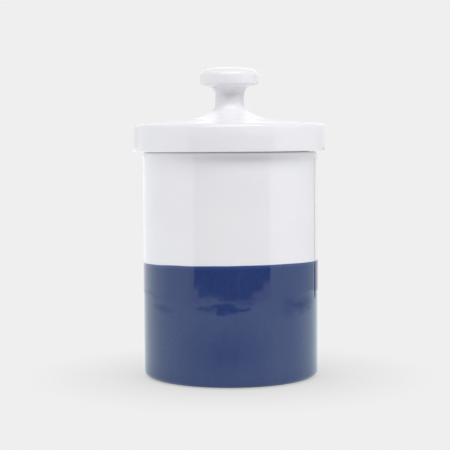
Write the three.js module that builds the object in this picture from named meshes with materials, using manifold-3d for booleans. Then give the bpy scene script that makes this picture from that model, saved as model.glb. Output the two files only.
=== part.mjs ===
// A white stoneware apothecary jar, its lower half dipped in blue glaze, with a disc lid that
// overhangs the jar, a mushroom knob luted onto the lid, and a silicone seal ring stretched
// round the lid's flange. The lid lifts straight off and turns freely.
// Millimetres, +Z up. The origin is on the jar's axis, in the plane that its foot stands on.
import * as THREE from 'three';
import { mergeVertices } from 'three/addons/utils/BufferGeometryUtils.js';
import Module from 'manifold-3d';

// Fineness of the facets
const roundSegments = 64;
const knobSegments = 48;
const filletSteps = 4;

// Clearance kept between pieces that touch
const fitGap = 0.3;

// Jar body
const bodyRadius = 51;
const bodyHeight = 131.2;
const wallThickness = 5.5;
const floorThickness = 6;
const baseCornerRadius = 3.5;
const lipOuterRadius = 3;
const lipInnerRadius = 1.8;
const lipOuterShare = 0.6; // the most of the wall that each lip rounding may take
const lipInnerShare = 0.38;
const floorFilletRadius = 7;

// Foot: an unglazed ring round a shallow recess
const recessDepth = 2;
const footRingWidth = 6;
const recessFilletRadius = 1.2;

// Blue dip glaze over the lower body, with its edge slightly out of level
const glazeLineHeight = 67.2;
const glazeLineRiseRight = 0.01;
const glazeLineRiseFront = 0.029;
const glazeThickness = 0.35;
const glazeProud = 0.25;
const glazeFootClearance = 0.4;

// Lid
const lidOverhang = 5.4;
const lidRimHeight = 15.4;
const lidSeatGap = 0.5;
const lidSlope = Math.tan(THREE.MathUtils.degToRad(5));
const lidPlateThickness = 6.5;
const rimTopRadius = 2.2;
const rimBottomRadius = 1.6;
const crownRadius = 20;
const crownRise = 3.3;
const crownFilletRadius = 26;

// Locating flange under the lid, with a bead that keeps the seal ring on
const flangeDepth = 11;
const flangeThickness = 4;
const flangeBeadHeight = 2.4;
const flangeBeadProud = 1;
const flangeBeadRadius = 0.9;
const flangeFilletRadius = 3;

// Silicone seal ring
const sealBandThickness = 1.6;
const sealFinProud = 0.9;
const sealFinThickness = 1;
const sealFinCount = 3;

// Mushroom knob
const neckRadius = 8.5;
const knobFootFlare = 2.1;
const neckFootRadius = 1.9;
const neckFlareRadius = 4.2;
const capRadius = 17;
const capSideHeight = 9.5;
const capDomeRise = 1.1;
const capDomeRadius = 8.5;
const capShoulderRadius = 4.8;
const capEdgeRadius = 1.3;
const capUndersideRise = 1.3;
const knobHeight = 26.6;

// Sizes that follow from the ones above
const coatRecess = glazeThickness + fitGap - glazeProud;
const boreRadius = bodyRadius - wallThickness;
const baseCornerCentre = bodyRadius - baseCornerRadius;
const floorTop = recessDepth + floorThickness;
const lidUnderside = bodyHeight + lidSeatGap;
const lidRadius = bodyRadius + lidOverhang;
const lidRimTop = lidUnderside + lidRimHeight;
const crownFootHeight = lidRimTop + lidSlope * (lidRadius - crownRadius);
const crownTopHeight = crownFootHeight + crownRise;
const crownTopRadius = neckRadius + knobFootFlare;
const flangeBottom = lidUnderside - flangeDepth;
const flangeRadius = boreRadius - 2 * fitGap - sealFinProud - sealBandThickness;
const flangeInnerRadius = flangeRadius - flangeThickness;

const wasm = await Module();
wasm.setup();

// Outline from [radius, height, fillet] corners; a fillet is a tangent arc in filletSteps pieces.
function outline(corners) {
  const points = [];
  corners.forEach(([radius, height, fillet = 0], index) => {
    const corner = new THREE.Vector2(radius, height);
    if (fillet === 0) {
      points.push(corner);
      return;
    }
    const toPrevious = new THREE.Vector2(...corners[index - 1].slice(0, 2)).sub(corner).normalize();
    const toNext = new THREE.Vector2(...corners[index + 1].slice(0, 2)).sub(corner).normalize();
    const halfAngle = Math.acos(THREE.MathUtils.clamp(toPrevious.dot(toNext), -1, 1)) / 2;
    const bisector = toPrevious.clone().add(toNext).normalize();
    const centre = corner.clone().addScaledVector(bisector, fillet / Math.sin(halfAngle));
    const start = corner.clone().addScaledVector(toPrevious, fillet / Math.tan(halfAngle)).sub(centre);
    const sweep = (Math.PI - 2 * halfAngle) * Math.sign(toNext.cross(toPrevious));
    for (let step = 0; step <= filletSteps; step += 1) {
      const spoke = start.clone().rotateAround(new THREE.Vector2(), (sweep * step) / filletSteps);
      points.push(centre.clone().add(spoke));
    }
  });
  return points;
}

// Turned solid from an outline that runs up the outside of the piece and closes on the axis or on itself
function turned(corners, segments = roundSegments) {
  const geometry = new THREE.LatheGeometry(outline(corners), segments);
  geometry.rotateX(Math.PI / 2);
  return geometry;
}

function toManifold(geometry) {
  const bare = geometry.clone();
  bare.deleteAttribute('normal');
  bare.deleteAttribute('uv');
  const merged = mergeVertices(bare);
  const vertProperties = new Float32Array(merged.attributes.position.array);
  const triVerts = new Uint32Array(merged.index.array);
  return new wasm.Manifold(new wasm.Mesh({ numProp: 3, vertProperties, triVerts }));
}

function toGeometry(solid) {
  const { vertProperties, triVerts } = solid.getMesh();
  const geometry = new THREE.BufferGeometry();
  geometry.setAttribute('position', new THREE.BufferAttribute(vertProperties, 3));
  geometry.setIndex(new THREE.BufferAttribute(triVerts, 1));
  return geometry;
}

// Wide block that fills everything above the glaze line's tilted plane, raised by the given amount
function aboveGlazeLine(raise) {
  const side = 4 * bodyRadius;
  const block = new THREE.BoxGeometry(side, side, 2 * bodyHeight);
  block.translate(0, 0, bodyHeight);
  block.applyMatrix4(new THREE.Matrix4().makeShear(0, glazeLineRiseRight, 0, -glazeLineRiseFront, 0, 0));
  block.translate(0, 0, glazeLineHeight + raise);
  return toManifold(block);
}

// Jar body outline with the outer wall set in by the given amount. The foot ring stands proud of
// the base corner by the depth that the clay is set in for the blue coat.
function bodyCorners(inset) {
  const radius = bodyRadius - inset;
  const footOuter = baseCornerCentre - coatRecess;
  const footInner = footOuter - footRingWidth;
  const lipRoom = wallThickness - coatRecess;
  return [
    [0, recessDepth],
    [footInner - recessDepth, recessDepth, recessFilletRadius],
    [footInner, 0],
    [footOuter, 0],
    [baseCornerCentre, coatRecess],
    [radius, coatRecess, radius - baseCornerCentre],
    [radius, bodyHeight, Math.min(lipOuterRadius, lipOuterShare * lipRoom)],
    [boreRadius, bodyHeight, Math.min(lipInnerRadius, lipInnerShare * lipRoom)],
    [boreRadius, floorTop, floorFilletRadius],
    [0, floorTop],
  ];
}

// The glazed white wall stands out above the line; below it the clay is set in to take the blue coat.
function makeJarBody() {
  const clay = toManifold(turned(bodyCorners(coatRecess)));
  const whiteWall = toManifold(turned(bodyCorners(0))).intersect(aboveGlazeLine(fitGap));
  return toGeometry(clay.add(whiteWall));
}

// Thin coat from the glaze line down the wall and round the base corner, ending just above the foot
function makeBlueGlaze() {
  const outerRadius = bodyRadius + glazeProud;
  const innerRadius = outerRadius - glazeThickness;
  const outerArc = outerRadius - baseCornerCentre;
  const innerArc = innerRadius - baseCornerCentre;
  const endAngle = Math.asin((baseCornerRadius - glazeFootClearance) / outerArc);
  const cornerPoint = (arcRadius, share) => {
    const angle = endAngle * share;
    return [
      baseCornerCentre + arcRadius * Math.cos(angle),
      baseCornerRadius - arcRadius * Math.sin(angle),
    ];
  };
  const steps = Array.from({ length: filletSteps + 1 }, (_, step) => step / filletSteps);
  const corners = [
    ...steps.map((share) => cornerPoint(outerArc, 1 - share)),
    [outerRadius, bodyHeight],
    [innerRadius, bodyHeight],
    ...steps.map((share) => cornerPoint(innerArc, share)),
    cornerPoint(outerArc, 1),
  ];
  return toGeometry(toManifold(turned(corners)).subtract(aboveGlazeLine(0)));
}

// Disc with a gently rising top, a crown that takes the knob, and a hollow underside inside the flange
function makeLid() {
  const ceilingAtFlange = lidRimTop + lidSlope * (lidRadius - flangeInnerRadius) - lidPlateThickness;
  const ceilingAtCrown = crownFootHeight - lidPlateThickness;
  const beadTop = flangeBottom + flangeBeadHeight;
  return turned([
    [0, ceilingAtCrown],
    [crownRadius, ceilingAtCrown],
    [flangeInnerRadius, ceilingAtFlange, flangeFilletRadius],
    [flangeInnerRadius, flangeBottom, flangeBeadRadius],
    [flangeRadius + flangeBeadProud, flangeBottom, flangeBeadRadius],
    [flangeRadius + flangeBeadProud, beadTop],
    [flangeRadius, beadTop],
    [flangeRadius, lidUnderside],
    [lidRadius, lidUnderside, rimBottomRadius],
    [lidRadius, lidRimTop, rimTopRadius],
    [crownRadius, crownFootHeight, crownFilletRadius],
    [crownTopRadius, crownTopHeight],
    [0, crownTopHeight],
  ]);
}

// Straight neck flaring into a cap with near-vertical sides, a round shoulder and a low dome
function makeKnob() {
  const foot = crownTopHeight + fitGap;
  const top = foot + knobHeight;
  const capShoulder = top - capDomeRise;
  const capEdge = capShoulder - capSideHeight;
  const neckTop = capEdge - capUndersideRise;
  return turned([
    [0, foot],
    [crownTopRadius, foot],
    [neckRadius, foot + (crownTopRadius - neckRadius), neckFootRadius],
    [neckRadius, neckTop, neckFlareRadius],
    [capRadius, capEdge, capEdgeRadius],
    [capRadius, capShoulder, capShoulderRadius],
    [capDomeRadius, top],
    [0, top],
  ], knobSegments);
}

// Band with evenly spaced fins that press on the jar's bore, held between lid and flange bead
function makeSealRing() {
  const innerRadius = flangeRadius + fitGap;
  const bandRadius = innerRadius + sealBandThickness;
  const finRadius = bandRadius + sealFinProud;
  const bottom = flangeBottom + flangeBeadHeight + fitGap;
  const top = lidUnderside - fitGap;
  const finPitch = (top - bottom - sealFinThickness) / (sealFinCount - 1);
  const corners = [[innerRadius, bottom]];
  for (let fin = 0; fin < sealFinCount; fin += 1) {
    const finBottom = bottom + fin * finPitch;
    corners.push([bandRadius, finBottom]);
    corners.push([finRadius, finBottom]);
    corners.push([finRadius, finBottom + sealFinThickness]);
    corners.push([bandRadius, finBottom + sealFinThickness]);
  }
  corners.push([innerRadius, top]);
  corners.push([innerRadius, bottom]);
  return turned(corners);
}

function piece(name, geometry, color, roughness) {
  const material = new THREE.MeshStandardMaterial({ color, roughness, metalness: 0 });
  const mesh = new THREE.Mesh(geometry, material);
  mesh.name = name;
  return mesh;
}

const whiteGlaze = '#f1f1f3';
const blueGlaze = '#2c3f78';
const clearSilicone = '#dfe2e2';
const glossy = 0.12;
const satin = 0.45;

const group = new THREE.Group();
group.add(
  piece('jar_body', makeJarBody(), whiteGlaze, glossy),
  piece('blue_dip_glaze', makeBlueGlaze(), blueGlaze, glossy),
  piece('seal_ring', makeSealRing(), clearSilicone, satin),
  piece('lid_disc', makeLid(), whiteGlaze, glossy),
  piece('lid_knob', makeKnob(), whiteGlaze, glossy),
);

export default group;
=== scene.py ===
"""A two-tone stoneware apothecary jar with a knobbed disc lid, as glazed pieces in a pale studio."""
import math

import bmesh
import bpy
from mathutils import Matrix, Vector, noise


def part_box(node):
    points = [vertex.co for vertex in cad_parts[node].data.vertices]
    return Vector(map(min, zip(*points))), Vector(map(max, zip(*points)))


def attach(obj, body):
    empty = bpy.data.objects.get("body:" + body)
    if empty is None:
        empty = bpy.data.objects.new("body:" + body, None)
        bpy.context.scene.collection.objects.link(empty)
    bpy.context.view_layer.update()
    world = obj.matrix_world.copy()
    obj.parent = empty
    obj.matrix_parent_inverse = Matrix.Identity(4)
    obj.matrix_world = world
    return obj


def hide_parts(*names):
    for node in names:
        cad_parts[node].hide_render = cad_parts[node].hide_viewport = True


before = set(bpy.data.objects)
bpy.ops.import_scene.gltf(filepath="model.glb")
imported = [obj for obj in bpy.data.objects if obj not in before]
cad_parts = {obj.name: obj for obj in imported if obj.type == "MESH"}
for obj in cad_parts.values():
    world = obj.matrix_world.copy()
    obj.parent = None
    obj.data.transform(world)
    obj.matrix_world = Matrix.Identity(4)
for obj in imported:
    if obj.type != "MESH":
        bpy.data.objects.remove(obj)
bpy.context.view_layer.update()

MM = 0.001

# Corners of the CAD pieces' boxes, in millimetres
_, jar_high = [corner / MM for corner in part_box("jar_body")]
_, coat_high = [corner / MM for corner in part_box("blue_dip_glaze")]
lid_low, lid_high = [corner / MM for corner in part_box("lid_disc")]
_, knob_high = [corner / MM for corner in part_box("lid_knob")]
seal_low, seal_high = [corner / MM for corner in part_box("seal_ring")]
JAR_RADIUS = jar_high.x
JAR_TOP = jar_high.z
COAT_RADIUS = coat_high.x
LID_RADIUS = lid_high.x
FLANGE_BOTTOM = lid_low.z
CAP_RADIUS = knob_high.x
KNOB_TOP = knob_high.z
SEAL_RADIUS = seal_high.x

# Sizes are in millimetres, up to where the studio starts. A RISE, SLOPE or TILT is height over
# length. A ROUND is how far along both sides of a corner its rounding reaches.

# Jar wall, lip, floor and foot
WALL = 5.5
LIP_OUTER_ROUND = 1.5
LIP_INNER_ROUND = 1.8
FLOOR_TOP = 8.0
FLOOR_ROUND = 7.0
BASE_CORNER = 3.5
FOOT_PROUD = 0.4
FOOT_WIDTH = 6.0
FOOT_INNER_ROUND = 0.5
FOOT_OUTER_ROUND = 0.2
FOOT_STEP_ROUND = 0.15
RECESS = 2.0
RECESS_ROUND = 1.2

# Blue coat: how far it wraps round the base corner, and its wavy, out-of-level top edge, which the
# wall below follows less and less down to where it blends in
COAT_WRAP = math.radians(60)
COAT_LIFT = 0.02
COAT_EDGE_HEIGHT = 67.2
COAT_EDGE_BLEND_FROM = 40.0
COAT_EDGE_ROUND = 0.09
COAT_RISE_RIGHT = 0.010
COAT_RISE_FRONT = 0.029
COAT_WAVE_DEPTH = 0.22
COAT_WAVE_LENGTH = 16.0
THIN_EDGE = 2.2

# Lid plate and rim
LID_SEAT_GAP = 0.26
LID_TILT = 0.0022
LID_SLOPE = math.tan(math.radians(5))
PLATE_THICKNESS = 6.5
RIM_TOP_ABOVE_JAR = 15.9
RIM_TOP_ROUND = 1.9
RIM_LOWER_ROUND = 0.9
RIM_SHOULDER_DROP = 5.0
RIM_SHOULDER_IN = 0.6
RIM_SHOULDER_ROUND = 2.5
CROWN_RADIUS = 20.0
CROWN_RISE_TO_NECK = 5.2
CROWN_FOOT_ROUND = 5.0

# Flange under the lid, with the bead that holds the seal ring, and glaze wiped off its lower end,
# which the lid stands on in the kiln
FLANGE_RADIUS = 42.4
FLANGE_THICKNESS = 4.0
FLANGE_END_ROUND = 0.9
FLANGE_ROOT_ROUND = 0.6
LID_HOLLOW_ROUND = 3.0
BEAD_PROUD = 1.0
BEAD_HEIGHT = 2.4
BEAD_TOP_ROUND = 0.35
BEAD_ROOT_ROUND = 0.3
WIPE_HEIGHT = 0.05

# Knob, whose top leans a little to the left
NECK_RADIUS = 8.5
NECK_ROUND = 4.2
CAP_EDGE_BELOW_TOP = 10.6
CAP_EDGE_ROUND = 0.9
CAP_UNDERSIDE_RISE = 1.3
CAP_SHOULDER_BELOW_TOP = 1.9
CAP_SHOULDER_ROUND = 3.6
CAP_DOME_RADIUS = 10.0
CAP_DOME_BELOW_TOP = 0.55
CAP_DOME_ROUND = 3.0
KNOB_LEAN = -0.3

# Seal ring, a band with fins
SEAL_INNER_RADIUS = 42.7
SEAL_BAND = 1.3
SEAL_CORNER_ROUND = 0.2
FIN_COUNT = 3
FIN_THICKNESS = 1.0
FIN_TILT = 0.35
FIN_ROOT_ROUND = 0.25

# How far the cast clay wanders from a true circle, and over what distance
WARP_DEPTH = 0.10
WARP_SIZE = 55.0

# Relief of a fired glaze: each pattern's size and depth
RIPPLE_SIZE = 14.0
WHITE_RIPPLE_DEPTH = 0.06
BLUE_RIPPLE_DEPTH = 0.12
PEEL_SIZE = 1.6
PEEL_DEPTH = 0.0008
PINHOLE_SPACING = 9.0
PINHOLE_RADIUS = 0.405
PINHOLE_DEPTH = 0.003

# Colour patterns' sizes in the glazes, the bare clay and the silicone
WHITE_CLOUD_SIZE = 22.0
WHITE_FLECK_SIZE = 2.4
BLUE_RUN_WIDTH = 7.0
BLUE_RUN_SQUEEZE = 0.22
BLUE_CLOUD_SIZE = 2.0
CLAY_GRAIN_SIZE = 0.6
CLAY_GRAIN_DEPTH = 0.05
SILICONE_MILK_SIZE = 6.0
SILICONE_MILK_DEPTH = 1.5
SILICONE_GRAIN_SIZE = 0.35
SILICONE_GRAIN_DEPTH = 0.01

# Fineness of the meshes; a point closer to the axis than ON_AXIS has no direction round it
ON_AXIS = 1e-6
MERGE_WITHIN = 1e-4
TURN_STEPS = 192
ROUND_SEGMENTS = 8
LONGEST_STEP = 3.0
COAT_EDGE_SEGMENTS = 3
SHARP_ANGLE = math.radians(50)
COAT_EDGE_ANGLE = math.radians(60)
DISC_SEGMENTS = 96
CARD_STEPS = 24

# Places of the sockets of a Mix node that blends colours, as some of their names repeat
FACTOR = 0
FIRST_COLOUR = 6
SECOND_COLOUR = 7
MIXED_COLOUR = 2


def linear(hex_colour):
    """sRGB hex string to a linear RGBA colour."""
    channels = [int(hex_colour[i:i + 2], 16) / 255 for i in (1, 3, 5)]
    return [c / 12.92 if c <= 0.04045 else ((c + 0.055) / 1.055) ** 2.4 for c in channels] + [1.0]


def node(tree, kind, inputs=None, **settings):
    """Add a node, set its properties, and feed its sockets from other nodes or with plain values."""
    made = tree.nodes.new(kind)
    for name, value in settings.items():
        if hasattr(made, name):
            setattr(made, name, value)
        else:
            made.inputs[name.replace("_", " ")].default_value = value
    for socket, source in (inputs or {}).items():
        if isinstance(source, bpy.types.NodeSocket):
            tree.links.new(source, made.inputs[socket])
        else:
            made.inputs[socket].default_value = source
    return made


def wandered(point):
    """A turned point in millimetres, moved in or out as cast clay wanders from a true circle."""
    around = Vector((point.x, point.y, 0))
    if around.length < ON_AXIS:
        return point
    amount = noise.noise(point / WARP_SIZE) * WARP_DEPTH
    return point + around.normalized() * amount


def turned(corners, closed=False):
    """Spin an outline round the axis: its corners are (radius, height, rounding), in millimetres."""
    bm = bmesh.new()
    verts = [bm.verts.new((radius, 0, height)) for radius, height, _ in corners]
    ends = verts[1:] + verts[:1] if closed else verts[1:]
    for start, end in zip(verts, ends):
        bm.edges.new((start, end))
    for vert, (_, _, rounding) in zip(verts, corners):
        if rounding:
            bmesh.ops.bevel(bm, geom=[vert], offset=rounding, offset_type="OFFSET", affect="VERTICES",
                            segments=ROUND_SEGMENTS, profile=0.5, material=-1)
    for edge in bm.edges[:]:
        cuts = int(edge.calc_length() / LONGEST_STEP)
        if cuts:
            bmesh.ops.subdivide_edges(bm, edges=[edge], cuts=cuts)
    bmesh.ops.spin(bm, geom=bm.verts[:] + bm.edges[:], cent=(0, 0, 0), axis=(0, 0, 1),
                   angle=2 * math.pi, steps=TURN_STEPS, use_merge=True)
    bmesh.ops.remove_doubles(bm, verts=bm.verts[:], dist=MERGE_WITHIN)
    bmesh.ops.recalc_face_normals(bm, faces=bm.faces[:])
    return bm


def link_object(name, bm):
    """Put a finished bmesh, in metres, into the scene as an object at the origin."""
    mesh = bpy.data.meshes.new(name)
    bm.to_mesh(mesh)
    bm.free()
    obj = bpy.data.objects.new(name, mesh)
    bpy.context.scene.collection.objects.link(obj)
    return obj


def piece(name, bm, body, replaced, slot, *materials):
    """Turn a mesh in millimetres into a smooth-shaded piece in metres that rides on a body."""
    bmesh.ops.scale(bm, vec=(MM, MM, MM), verts=bm.verts[:])
    obj = link_object(name, bm)
    obj.data.shade_smooth()
    obj.data.set_sharp_from_angle(angle=SHARP_ANGLE)
    for material in materials:
        obj.data.materials.append(material)
    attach(obj, body)
    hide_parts(*replaced)
    return obj


def finish_material(name, **settings):
    """New material with a Principled shader; returns the material, its tree and the shader."""
    material = bpy.data.materials.new(name)
    material.use_nodes = True
    shader = material.node_tree.nodes["Principled BSDF"]
    for socket, value in settings.items():
        shader.inputs[socket.replace("_", " ")].default_value = value
    return material, material.node_tree, shader


def glaze_surface(tree, ripple_depth):
    """Relief of a fired glaze: slow ripples where it flowed, fine orange peel, and a few pinholes.
    Returns the place on the piece that the patterns read, and the surface's direction."""
    place = node(tree, "ShaderNodeTexCoord").outputs["Object"]
    ripple = node(tree, "ShaderNodeTexNoise", {"Vector": place}, Scale=1 / (RIPPLE_SIZE * MM), Detail=1.0)
    peel = node(tree, "ShaderNodeTexNoise", {"Vector": place}, Scale=1 / (PEEL_SIZE * MM), Detail=1.0)
    cells = node(tree, "ShaderNodeTexVoronoi", {"Vector": place}, Scale=1 / (PINHOLE_SPACING * MM))
    pinholes = node(tree, "ShaderNodeMapRange", {"Value": cells.outputs["Distance"]},
                    From_Min=0.0, From_Max=PINHOLE_RADIUS / PINHOLE_SPACING, To_Min=0.0, To_Max=1.0)
    flowed = node(tree, "ShaderNodeBump", {"Height": ripple.outputs["Fac"]},
                  Strength=1.0, Distance=ripple_depth * MM)
    peeled = node(tree, "ShaderNodeBump", {"Height": peel.outputs["Fac"], "Normal": flowed.outputs[0]},
                  Strength=1.0, Distance=PEEL_DEPTH * MM)
    pitted = node(tree, "ShaderNodeBump", {"Height": pinholes.outputs[0], "Normal": peeled.outputs[0]},
                  Strength=1.0, Distance=PINHOLE_DEPTH * MM)
    return place, pitted.outputs[0]


def white_stoneware_glaze():
    """Opaque white gloss glaze on stoneware, fired: mirror-like, faintly rippled, with a cool white
    that mottles by a shade or two where the coat is thicker or thinner, and rare faint warm flecks."""
    material, tree, shader = finish_material("white_stoneware_glaze", Roughness=0.07, IOR=1.5)
    place, normal = glaze_surface(tree, WHITE_RIPPLE_DEPTH)
    cloud = node(tree, "ShaderNodeTexNoise", {"Vector": place},
                 Scale=1 / (WHITE_CLOUD_SIZE * MM), Detail=3.0)
    speck = node(tree, "ShaderNodeTexNoise", {"Vector": place},
                 Scale=1 / (WHITE_FLECK_SIZE * MM), Detail=2.0)
    flecks = node(tree, "ShaderNodeMapRange", {"Value": speck.outputs["Fac"]},
                  From_Min=0.74, From_Max=0.80, To_Min=0.0, To_Max=0.35)
    clouded = node(tree, "ShaderNodeMix", {FACTOR: cloud.outputs["Fac"], FIRST_COLOUR: linear("#eceaf0"),
                                           SECOND_COLOUR: linear("#f2f1f4")}, data_type="RGBA")
    flecked = node(tree, "ShaderNodeMix", {FACTOR: flecks.outputs[0], SECOND_COLOUR: linear("#dcd8d2"),
                                           FIRST_COLOUR: clouded.outputs[MIXED_COLOUR]}, data_type="RGBA")
    tree.links.new(flecked.outputs[MIXED_COLOUR], shader.inputs["Base Color"])
    tree.links.new(normal, shader.inputs["Normal"])
    return material


def cobalt_dip_glaze():
    """Cobalt-blue gloss glaze, applied by dipping: mirror-like, deep where it is thick, paler and
    greyer where it thins along its top edge, with faint vertical runs."""
    material, tree, shader = finish_material("cobalt_dip_glaze", Roughness=0.05, IOR=1.5)
    place, normal = glaze_surface(tree, BLUE_RIPPLE_DEPTH)
    stretched = node(tree, "ShaderNodeMapping", {"Vector": place}, Scale=(1.0, 1.0, BLUE_RUN_SQUEEZE))
    runs = node(tree, "ShaderNodeTexNoise", {"Vector": stretched.outputs[0]},
                Scale=1 / (BLUE_RUN_WIDTH * MM), Detail=3.0)
    cloud = node(tree, "ShaderNodeTexNoise", {"Vector": place},
                 Scale=1 / (BLUE_CLOUD_SIZE * MM), Detail=2.0)
    depth = node(tree, "ShaderNodeMath", {0: runs.outputs["Fac"], 1: cloud.outputs["Fac"]},
                 operation="MULTIPLY")
    spread = node(tree, "ShaderNodeMapRange", {"Value": depth.outputs[0]},
                  From_Min=0.12, From_Max=0.40, To_Min=0.0, To_Max=1.0)
    thick = node(tree, "ShaderNodeMix", {FACTOR: spread.outputs[0], FIRST_COLOUR: linear("#28396e"),
                                         SECOND_COLOUR: linear("#2d4073")}, data_type="RGBA")
    height = node(tree, "ShaderNodeVectorMath", {0: place, 1: (-COAT_RISE_RIGHT, COAT_RISE_FRONT, 1)},
                  operation="DOT_PRODUCT")
    thin = node(tree, "ShaderNodeMapRange", {"Value": height.outputs["Value"]},
                From_Min=(COAT_EDGE_HEIGHT - THIN_EDGE) * MM, From_Max=COAT_EDGE_HEIGHT * MM)
    edged = node(tree, "ShaderNodeMix", {FACTOR: thin.outputs[0], SECOND_COLOUR: linear("#3d5288"),
                                         FIRST_COLOUR: thick.outputs[MIXED_COLOUR]}, data_type="RGBA")
    tree.links.new(edged.outputs[MIXED_COLOUR], shader.inputs["Base Color"])
    tree.links.new(normal, shader.inputs["Normal"])
    return material


def bare_stoneware():
    """Fired stoneware left unglazed where the piece stood in the kiln: dry, matt, warm white, sandy.
    Its grains are about 0.2 mm and drawn three times coarser, so that they show."""
    material, tree, shader = finish_material("bare_stoneware", Roughness=0.85, IOR=1.5)
    place = node(tree, "ShaderNodeTexCoord").outputs["Object"]
    grain = node(tree, "ShaderNodeTexNoise", {"Vector": place}, Scale=1 / (CLAY_GRAIN_SIZE * MM), Detail=3.0)
    sandy = node(tree, "ShaderNodeMix", {FACTOR: grain.outputs["Fac"], FIRST_COLOUR: linear("#cfc6b6"),
                                         SECOND_COLOUR: linear("#e4ddd0")}, data_type="RGBA")
    bump = node(tree, "ShaderNodeBump", {"Height": grain.outputs["Fac"]},
                Strength=1.0, Distance=CLAY_GRAIN_DEPTH * MM)
    tree.links.new(sandy.outputs[MIXED_COLOUR], shader.inputs["Base Color"])
    tree.links.new(bump.outputs[0], shader.inputs["Normal"])
    return material


def moulded_silicone():
    """Translucent silicone rubber, moulded: soft satin, milky, with the mould's fine matt grain.
    The grain is about 0.05 mm and drawn seven times coarser, so that it shows."""
    material, tree, shader = finish_material("moulded_silicone", Roughness=0.42, IOR=1.41,
                                             Subsurface_Weight=0.35,
                                             Subsurface_Scale=SILICONE_MILK_DEPTH * MM)
    place = node(tree, "ShaderNodeTexCoord").outputs["Object"]
    grain = node(tree, "ShaderNodeTexNoise", {"Vector": place},
                 Scale=1 / (SILICONE_GRAIN_SIZE * MM), Detail=2.0)
    milk = node(tree, "ShaderNodeTexNoise", {"Vector": place},
                Scale=1 / (SILICONE_MILK_SIZE * MM), Detail=2.0)
    milky = node(tree, "ShaderNodeMix", {FACTOR: milk.outputs["Fac"], FIRST_COLOUR: linear("#d3d8d8"),
                                         SECOND_COLOUR: linear("#e3e6e5")}, data_type="RGBA")
    bump = node(tree, "ShaderNodeBump", {"Height": grain.outputs["Fac"]},
                Strength=1.0, Distance=SILICONE_GRAIN_DEPTH * MM)
    tree.links.new(milky.outputs[MIXED_COLOUR], shader.inputs["Base Color"])
    tree.links.new(bump.outputs[0], shader.inputs["Normal"])
    return material


def wipe_bare(bm, is_bare):
    """Give the second material to the faces that the glaze was wiped off."""
    for face in bm.faces:
        if is_bare(face.calc_center_median()):
            face.material_index = 1


def make_jar(glaze, clay):
    """Cast jar, glazed inside and out, with a bare foot ring round a shallow glazed recess."""
    bore = JAR_RADIUS - WALL
    foot_outer = JAR_RADIUS - BASE_CORNER - FOOT_PROUD
    foot_inner = foot_outer - FOOT_WIDTH
    bm = turned([
        (0, RECESS, 0),
        (foot_inner - RECESS, RECESS, RECESS_ROUND),
        (foot_inner, 0, FOOT_INNER_ROUND),
        (foot_outer, 0, FOOT_OUTER_ROUND),
        (foot_outer + FOOT_PROUD, FOOT_PROUD, FOOT_STEP_ROUND),
        (JAR_RADIUS, FOOT_PROUD, BASE_CORNER - FOOT_PROUD),
        (JAR_RADIUS, JAR_TOP, LIP_OUTER_ROUND),
        (bore, JAR_TOP, LIP_INNER_ROUND),
        (bore, FLOOR_TOP, FLOOR_ROUND),
        (0, FLOOR_TOP, 0),
    ])
    wipe_bare(bm, lambda centre: centre.z < FOOT_PROUD / 2 and centre.xy.length > foot_inner)
    for vert in bm.verts:
        vert.co = wandered(vert.co)
    piece("glazed_jar", bm, "jar", ["jar_body"], "white_glaze", glaze, clay)


def coat_edge_rise(point):
    """How far the coat's top edge stands above its mean height at a point round the jar."""
    level = COAT_RISE_RIGHT * point.x - COAT_RISE_FRONT * point.y
    return level + COAT_WAVE_DEPTH * noise.noise(point.xy.to_3d() / COAT_WAVE_LENGTH)


def make_blue_coat(glaze):
    """Coat of blue glaze, slightly proud of the jar's wall and round its base corner."""
    radius = JAR_RADIUS + COAT_LIFT
    corner = BASE_CORNER - FOOT_PROUD
    setback = corner * math.tan(COAT_WRAP / 2)
    corner_height = BASE_CORNER - setback
    bm = turned([
        (radius - setback * math.sin(COAT_WRAP), corner_height - setback * math.cos(COAT_WRAP), 0),
        (radius, corner_height, setback),
        (radius, COAT_EDGE_HEIGHT, 0),
    ])
    for vert in bm.verts:
        share = max(0.0, (vert.co.z - COAT_EDGE_BLEND_FROM) / (COAT_EDGE_HEIGHT - COAT_EDGE_BLEND_FROM))
        vert.co.z += share * coat_edge_rise(vert.co)
        vert.co = wandered(vert.co)
    coat = piece("blue_glaze_coat", bm, "jar", ["blue_dip_glaze"], "blue_glaze", glaze)
    thick = coat.modifiers.new("coat_thickness", "SOLIDIFY")
    thick.thickness = (COAT_RADIUS - radius) * MM
    thick.offset = 1.0
    soft = coat.modifiers.new("coat_edge", "BEVEL")
    soft.width = COAT_EDGE_ROUND * MM
    soft.segments = COAT_EDGE_SEGMENTS
    soft.limit_method = "ANGLE"
    soft.angle_limit = COAT_EDGE_ANGLE


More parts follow.
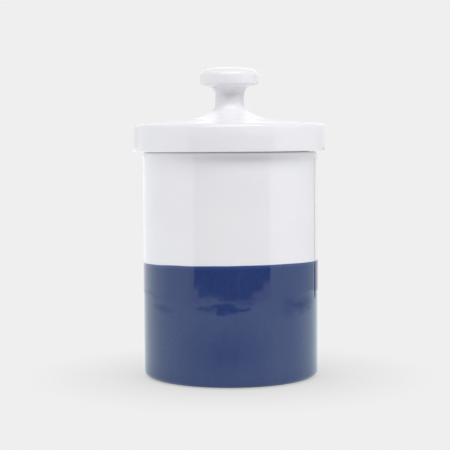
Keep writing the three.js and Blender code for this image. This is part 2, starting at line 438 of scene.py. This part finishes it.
def make_lid(glaze, clay):
    """Disc lid with its flange and hollow underside, and the knob luted on and glazed over with it."""
    seat = JAR_TOP + LID_SEAT_GAP
    rim_top = JAR_TOP + RIM_TOP_ABOVE_JAR
    crown_foot = rim_top + LID_SLOPE * (LID_RADIUS - CROWN_RADIUS)
    crown_ceiling = crown_foot - PLATE_THICKNESS
    flange_inner = FLANGE_RADIUS - FLANGE_THICKNESS
    flange_ceiling = rim_top + LID_SLOPE * (LID_RADIUS - flange_inner) - PLATE_THICKNESS
    bead_radius = FLANGE_RADIUS + BEAD_PROUD
    bead_top = FLANGE_BOTTOM + BEAD_HEIGHT
    cap_edge = KNOB_TOP - CAP_EDGE_BELOW_TOP
    bm = turned([
        (0, crown_ceiling, 0),
        (CROWN_RADIUS, crown_ceiling, LID_HOLLOW_ROUND),
        (flange_inner, flange_ceiling, LID_HOLLOW_ROUND),
        (flange_inner, FLANGE_BOTTOM, FLANGE_END_ROUND),
        (bead_radius, FLANGE_BOTTOM, FLANGE_END_ROUND),
        (bead_radius, bead_top, BEAD_TOP_ROUND),
        (FLANGE_RADIUS, bead_top, BEAD_ROOT_ROUND),
        (FLANGE_RADIUS, seat, FLANGE_ROOT_ROUND),
        (LID_RADIUS, seat, RIM_LOWER_ROUND),
        (LID_RADIUS, rim_top - RIM_SHOULDER_DROP, RIM_SHOULDER_ROUND),
        (LID_RADIUS - RIM_SHOULDER_IN, rim_top, RIM_TOP_ROUND),
        (CROWN_RADIUS, crown_foot, CROWN_FOOT_ROUND),
        (NECK_RADIUS, crown_foot + CROWN_RISE_TO_NECK, NECK_ROUND),
        (NECK_RADIUS, cap_edge - CAP_UNDERSIDE_RISE, NECK_ROUND),
        (CAP_RADIUS, cap_edge, CAP_EDGE_ROUND),
        (CAP_RADIUS, KNOB_TOP - CAP_SHOULDER_BELOW_TOP, CAP_SHOULDER_ROUND),
        (CAP_DOME_RADIUS, KNOB_TOP - CAP_DOME_BELOW_TOP, CAP_DOME_ROUND),
        (0, KNOB_TOP, 0),
    ])
    wipe_bare(bm, lambda centre: centre.z < FLANGE_BOTTOM + WIPE_HEIGHT)
    for vert in bm.verts:
        share = max(0.0, (vert.co.z - crown_foot) / (KNOB_TOP - crown_foot))
        vert.co.x += KNOB_LEAN * share
        vert.co.z += LID_TILT * vert.co.x
        vert.co = wandered(vert.co)
    piece("glazed_lid_and_knob", bm, "lid", ["lid_disc", "lid_knob"], "white_glaze", glaze, clay)


def make_seal_ring(silicone):
    """Ring for the flange: a band with soft fins that lean up a little towards their tips."""
    band = SEAL_INNER_RADIUS + SEAL_BAND
    fin_pitch = (seal_high.z - seal_low.z - FIN_THICKNESS) / (FIN_COUNT - 1)
    corners = [(SEAL_INNER_RADIUS, seal_low.z, SEAL_CORNER_ROUND)]
    for index in range(FIN_COUNT):
        base = seal_low.z + index * fin_pitch
        tip = base + FIN_TILT
        corners += [
            (band, base, FIN_ROOT_ROUND),
            (SEAL_RADIUS, tip, SEAL_CORNER_ROUND),
            (SEAL_RADIUS, tip + FIN_THICKNESS / 2, SEAL_CORNER_ROUND),
            (band, base + FIN_THICKNESS, FIN_ROOT_ROUND),
        ]
    corners.append((SEAL_INNER_RADIUS, seal_high.z, SEAL_CORNER_ROUND))
    bm = turned(corners, closed=True)
    piece("silicone_seal_ring", bm, "seal", ["seal_ring"], "silicone", silicone)


# Studio, in metres and degrees from here on: pale floor and surround, soft lights, and what only
# the gloss shows
SURROUND = "#efefef"
AMBIENT = 0.42
GLOSS_SURROUND = 0.90
PLAIN_LIGHT = (1, 1, 1, 1)
GLOSS_TINT = (0.97, 1.09, 1.06, 1)
BACK_TINT = (0.98, 1.0, 1.04, 1)

# Floors: the one that is seen, the one that lights the jar from below and the paper in the gloss lie
# just under each other, and all darken close to the foot
FLOOR_RADIUS = 6.0
FLOOR_HEIGHT = -0.1 * MM
BOUNCE_HEIGHT = -0.2 * MM
FLOOR_BOUNCE = 1.0
CONTACT_REACH = 0.075
CONTACT_DEPTH = 0.42
CONTACT_SAMPLES = 16

# Paper in the gloss: brighter behind the jar than in front of it, with loose folds in it
PAPER_RADIUS = 0.47
PAPER_HEIGHT = -0.3 * MM
PAPER_FRONT = -0.30
PAPER_FRONT_GLOW = 1.02
PAPER_BACK = 0.05
PAPER_BACK_GLOW = 1.24
FOLD_STRETCH = (1.0, 9.0, 1.0)
FOLD_SCALE = 3.6
# Shaded places on the paper: azimuth and its half width in degrees, distance and its half depth,
# how much of the paper's brightness is left, how ragged the outline is, and how far in it fades
PAPER_SHADES = [
    (-6, 33, 0.392, 0.033, 0.0, 0.42, 0.22),
    (3, 22, 0.456, 0.014, 0.10, 0.85, 0.25),
    (-6, 60, 0.180, 0.165, 0.46, 0.05, 1.0),
    (-94, 30, 0.386, 0.034, 0.55, 0.15, 0.90),
    (95, 40, 0.410, 0.075, 0.30, 0.15, 0.90),
]

# Upright cards. Those in front stand on an arc round a point well behind the jar.
CARD_TOP = 0.9
FRONT_CENTRE = (0, 0.73, 0)
FRONT_ROOM = {"centre": FRONT_CENTRE, "radius": 1.196, "from_angle": -20.1, "to_angle": 22.1}
SIDE_CARD_RADIUS = 0.48
SIDE_CARD_COUNT = 12
SIDE_CARD_WIDTH = 7.0
SIDE_CARDS_FROM = 50
LEFT_SIDE_GLOW = 1.0
LEFT_SIDE_GAIN = 0.20
RIGHT_SIDE_GLOW = 1.05
RIGHT_SIDE_GAIN = -0.38

# Point that the soft lights are aimed at
LIGHTS_AIM = Vector((0, 0, 0.1))

# Camera: a long lens in front, level with the lid, looking slightly down
CAMERA_PLACE = (-0.0032, -0.800, 0.1380)
CAMERA_DOWN = 3.56
CAMERA_ROLL = -0.29
LENS = 109.2
SENSOR_WIDTH = 36.0


def make_surround():
    """Even pale surround of one tone to the eye, dimmer as a light and brighter in the gloss."""
    world = bpy.data.worlds.new("pale_surround")
    bpy.context.scene.world = world
    world.use_nodes = True
    tree = world.node_tree
    background = tree.nodes["Background"]
    ray = node(tree, "ShaderNodeLightPath")
    lit = node(tree, "ShaderNodeMapRange", {"Value": ray.outputs["Is Diffuse Ray"]},
               To_Min=GLOSS_SURROUND, To_Max=AMBIENT)
    seen = node(tree, "ShaderNodeMix", {"Factor": ray.outputs["Is Camera Ray"], "A": lit.outputs[0]},
                B=linear(SURROUND)[0])
    tree.links.new(seen.outputs[0], background.inputs["Strength"])
    background.inputs["Color"].default_value = PLAIN_LIGHT


def glow_material(name, brightness, tint):
    """Material that only glows; returns it, its tree and its glow."""
    material = bpy.data.materials.new(name)
    material.use_nodes = True
    tree = material.node_tree
    tree.nodes.clear()
    glow = node(tree, "ShaderNodeEmission", Strength=brightness, Color=tint)
    node(tree, "ShaderNodeOutputMaterial", {"Surface": glow.outputs[0]})
    return material, tree, glow


def stage_set(name, bm, material, *kinds):
    """Add a part of the studio that only the named kinds of ray meet."""
    obj = link_object(name, bm)
    obj.data.materials.append(material)
    for kind in ("camera", "diffuse", "glossy", "transmission", "volume_scatter", "shadow"):
        setattr(obj, "visible_" + kind, kind in kinds)


def flat_disc(radius, height):
    """Round sheet at a height, as a bmesh."""
    bm = bmesh.new()
    bmesh.ops.create_circle(bm, cap_ends=True, segments=DISC_SEGMENTS, radius=radius)
    bmesh.ops.translate(bm, vec=(0, 0, height), verts=bm.verts[:])
    return bm


def contact_shade(tree, brightness):
    """Brightness of a floor that darkens only close to what stands on it."""
    shade = node(tree, "ShaderNodeAmbientOcclusion", samples=CONTACT_SAMPLES, Distance=CONTACT_REACH)
    return node(tree, "ShaderNodeMapRange", {"Value": shade.outputs["AO"]}, From_Min=0.0, From_Max=1.0,
                To_Min=brightness * (1.0 - CONTACT_DEPTH), To_Max=brightness).outputs[0]


def make_floor(name, height, brightness, *kinds):
    """Wide plain floor, met by the named kinds of ray."""
    material, tree, glow = glow_material(name, brightness, PLAIN_LIGHT)
    tree.links.new(contact_shade(tree, brightness), glow.inputs["Strength"])
    stage_set(name, flat_disc(FLOOR_RADIUS, height), material, *kinds)


def fold_shade(tree, polar, rough):
    """Share of light left on the paper by its shaded places, read at (azimuth, distance)."""
    left_so_far = None
    for aim, half_width, distance, half_depth, left, raggedness, fade in PAPER_SHADES:
        across = 1 / math.radians(half_width)
        along = 1 / half_depth
        local = node(tree, "ShaderNodeMapping", {"Vector": polar}, Scale=(across, along, 0),
                     Location=(-math.radians(aim) * across, -distance * along, 0))
        off = node(tree, "ShaderNodeVectorMath", {0: local.outputs[0]}, operation="LENGTH")
        ragged = node(tree, "ShaderNodeMath", {0: rough, 1: raggedness, 2: off.outputs["Value"]},
                      operation="MULTIPLY_ADD")
        shade = node(tree, "ShaderNodeMapRange", {"Value": ragged.outputs[0]},
                     From_Min=1.0 - fade, From_Max=1.0, To_Min=left, To_Max=1.0)
        if left_so_far:
            shade = node(tree, "ShaderNodeMath", {0: left_so_far.outputs[0], 1: shade.outputs[0]},
                         operation="MULTIPLY")
        left_so_far = shade
    return left_so_far.outputs[0]


def make_paper():
    """Loosely folded sheet under the jar that only the gloss shows."""
    material, tree, glow = glow_material("paper_in_the_gloss", 1.0, GLOSS_TINT)
    contact = contact_shade(tree, 1.0)
    place = node(tree, "ShaderNodeTexCoord").outputs["Object"]
    apart = node(tree, "ShaderNodeSeparateXYZ", {"Vector": place})
    evenness = node(tree, "ShaderNodeMapRange", {"Value": apart.outputs["Y"]}, From_Min=PAPER_FRONT,
                    From_Max=PAPER_BACK, To_Min=PAPER_FRONT_GLOW, To_Max=PAPER_BACK_GLOW)
    frontward = node(tree, "ShaderNodeMath", {0: apart.outputs["Y"], 1: -1.0}, operation="MULTIPLY")
    azimuth = node(tree, "ShaderNodeMath", {0: apart.outputs["X"], 1: frontward.outputs[0]},
                   operation="ARCTAN2")
    reach = node(tree, "ShaderNodeVectorMath", {0: place}, operation="LENGTH")
    polar = node(tree, "ShaderNodeCombineXYZ", {"X": azimuth.outputs[0], "Y": reach.outputs["Value"]})
    stretched = node(tree, "ShaderNodeMapping", {"Vector": polar.outputs[0]}, Scale=FOLD_STRETCH)
    folds = node(tree, "ShaderNodeTexNoise", {"Vector": stretched.outputs[0]}, Scale=FOLD_SCALE, Detail=5.0)
    rough = node(tree, "ShaderNodeMapRange", {"Value": folds.outputs["Fac"]},
                 From_Min=0.3, From_Max=0.7, To_Min=-1.0, To_Max=1.0)
    shade = fold_shade(tree, polar.outputs[0], rough.outputs[0])
    toned = node(tree, "ShaderNodeMath", {0: evenness.outputs[0], 1: shade}, operation="MULTIPLY")
    shaded = node(tree, "ShaderNodeMath", {0: toned.outputs[0], 1: contact}, operation="MULTIPLY")
    tree.links.new(shaded.outputs[0], glow.inputs["Strength"])
    stage_set("paper_in_the_gloss", flat_disc(PAPER_RADIUS, PAPER_HEIGHT), material, "glossy")


def curved_card(name, radius, from_angle, to_angle, high, brightness, low=0.0, centre=(0, 0, 0),
                tint=GLOSS_TINT, met_by="glossy"):
    """Upright curved card that only one kind of ray meets. Its angles are round its own centre, from
    straight in front, positive to the right."""
    start = math.radians(from_angle)
    foot = Vector(centre) + Vector((math.sin(start), -math.cos(start), 0)) * radius
    bm = bmesh.new()
    ends = [bm.verts.new((foot.x, foot.y, height)) for height in (low, high)]
    edge = bm.edges.new(ends)
    bmesh.ops.spin(bm, geom=ends + [edge], cent=centre, axis=(0, 0, 1),
                   angle=math.radians(to_angle - from_angle), steps=CARD_STEPS)
    material = glow_material(name, brightness, tint)[0]
    stage_set(name, bm, material, met_by)


def make_front_room():
    """Dark opening in front of the jar, dusky at its top, with a paler slit, and dim as a light."""
    curved_card("dark_front_gap", high=0.165, brightness=0.04, **FRONT_ROOM)
    curved_card("dusky_front_gap", low=0.165, high=0.25, brightness=0.50, **FRONT_ROOM)
    curved_card("dim_front_room", high=CARD_TOP, brightness=0.18, met_by="diffuse", **FRONT_ROOM)
    curved_card("bright_front_slit", centre=FRONT_CENTRE, radius=1.190, from_angle=3.1, to_angle=4.1,
                high=0.25, brightness=0.22)


def make_side_cards():
    """Bright walls on both sides; the left one brightens towards the back, the right one dims."""
    for step in range(SIDE_CARD_COUNT):
        share = step / (SIDE_CARD_COUNT - 1)
        start = SIDE_CARDS_FROM + step * SIDE_CARD_WIDTH
        end = start + SIDE_CARD_WIDTH
        curved_card("left_side_%d" % step, SIDE_CARD_RADIUS, -end, -start, CARD_TOP,
                    LEFT_SIDE_GLOW + LEFT_SIDE_GAIN * share)
        curved_card("right_side_%d" % step, SIDE_CARD_RADIUS, start, end, CARD_TOP,
                    RIGHT_SIDE_GLOW + RIGHT_SIDE_GAIN * share)


def make_back_cards():
    """Bright cards behind the jar, and the narrow gap that draws a dark line down its right edge."""
    curved_card("bright_back_left", radius=SIDE_CARD_RADIUS, from_angle=-165, to_angle=-134,
                high=0.128, brightness=1.20, tint=BACK_TINT)
    curved_card("bright_back", radius=0.60, from_angle=145, to_angle=215,
                low=0.245, high=CARD_TOP, brightness=1.15, tint=BACK_TINT)
    curved_card("dark_back_right_gap", radius=0.42, from_angle=136.5, to_angle=141.5,
                high=0.127, brightness=0.0)


def softbox(name, azimuth, elevation, distance, width, height, watts, glossy=True):
    """Rectangular soft light aimed at the jar from a direction, azimuth 0 being straight in front."""
    light = bpy.data.lights.new(name, "AREA")
    light.shape = "RECTANGLE"
    light.size = width
    light.size_y = height
    light.energy = watts
    lamp = bpy.data.objects.new(name, light)
    bpy.context.scene.collection.objects.link(lamp)
    turn, rise = math.radians(azimuth), math.radians(elevation)
    outward = Vector((math.sin(turn) * math.cos(rise), -math.cos(turn) * math.cos(rise), math.sin(rise)))
    lamp.location = LIGHTS_AIM + outward * distance
    lamp.rotation_euler = outward.to_track_quat("Z", "Y").to_euler()
    lamp.visible_camera = False
    lamp.visible_glossy = glossy


def make_camera():
    """Camera in its place, turned down and rolled, with its lens."""
    data = bpy.data.cameras.new("camera")
    data.sensor_width = SENSOR_WIDTH
    data.lens = LENS
    camera = bpy.data.objects.new("camera", data)
    bpy.context.scene.collection.objects.link(camera)
    down = Matrix.Rotation(math.radians(90 - CAMERA_DOWN), 4, "X")
    roll = Matrix.Rotation(math.radians(CAMERA_ROLL), 4, "Z")
    camera.matrix_world = Matrix.Translation(CAMERA_PLACE) @ down @ roll
    bpy.context.scene.camera = camera


white = white_stoneware_glaze()
clay = bare_stoneware()
make_jar(white, clay)
make_blue_coat(cobalt_dip_glaze())
make_lid(white, clay)
make_seal_ring(moulded_silicone())

make_surround()
make_floor("studio_floor", FLOOR_HEIGHT, linear(SURROUND)[0], "camera")
make_floor("floor_bounce", BOUNCE_HEIGHT, FLOOR_BOUNCE, "diffuse", "transmission")
make_paper()
make_front_room()
make_side_cards()
make_back_cards()
softbox("key_softbox", azimuth=17, elevation=52, distance=1.0, width=1.45, height=0.42, watts=8.3)
softbox("left_fill", azimuth=-70, elevation=18, distance=1.2, width=0.6, height=0.8, watts=1.8, glossy=False)
softbox("right_fill", azimuth=75, elevation=18, distance=1.2, width=0.6, height=0.8, watts=1.0, glossy=False)
make_camera()
bpy.context.scene.view_settings.view_transform = "Standard"
